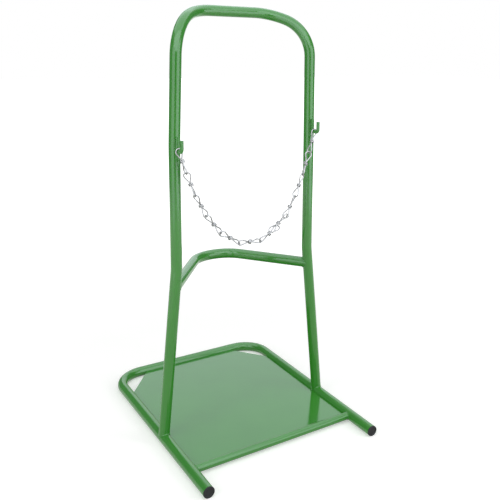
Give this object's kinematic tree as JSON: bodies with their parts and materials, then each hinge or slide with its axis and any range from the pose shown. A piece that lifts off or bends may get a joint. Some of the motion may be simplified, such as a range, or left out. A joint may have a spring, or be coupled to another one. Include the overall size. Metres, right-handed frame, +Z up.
{
  "type": "gas cylinder stand",
  "caption": "Free-standing bent-tube stand for an upright gas cylinder: U-shaped base with floor plate, tall hoop, bowed rear brace and a knotted wire chain hung on hooks.",
  "frame": {"origin": "on the floor, under the middle of the bounding box", "axes": "+Z up, +Y towards the closed rear end of the base, +X to the right when looked at from the open front end"},
  "size_m": [0.441, 0.591, 0.98],
  "materials": {
    "green_paint": "glossy powder coat",
    "zinc": "bright zinc plating",
    "black_plastic": "moulded"
  },
  "bodies": {
    "stand": {"upright_hoop": "green_paint", "rear_brace": "green_paint", "base_rail": "green_paint", "front_cross_tube": "green_paint", "base_plate": "green_paint", "hook_left": "green_paint", "hook_right": "green_paint", "foot_plug_left": "black_plastic", "foot_plug_right": "black_plastic"},
    "chain": {"chain_link_01": "zinc", "chain_link_02": "zinc", "chain_link_03": "zinc", "chain_link_04": "zinc", "chain_link_05": "zinc", "chain_link_06": "zinc", "chain_link_07": "zinc", "chain_link_08": "zinc", "chain_link_09": "zinc", "chain_link_10": "zinc", "chain_link_11": "zinc", "chain_link_12": "zinc"}
  },
  "joints": [
    {"name": "chain_swing", "type": "hinge", "parent": "stand", "child": "chain", "pos_m": [-0.17279, -0.08125, 0.67752], "axis": [-0.9976, 0, -0.0695], "range_deg": [-8, 40]}
  ]
}
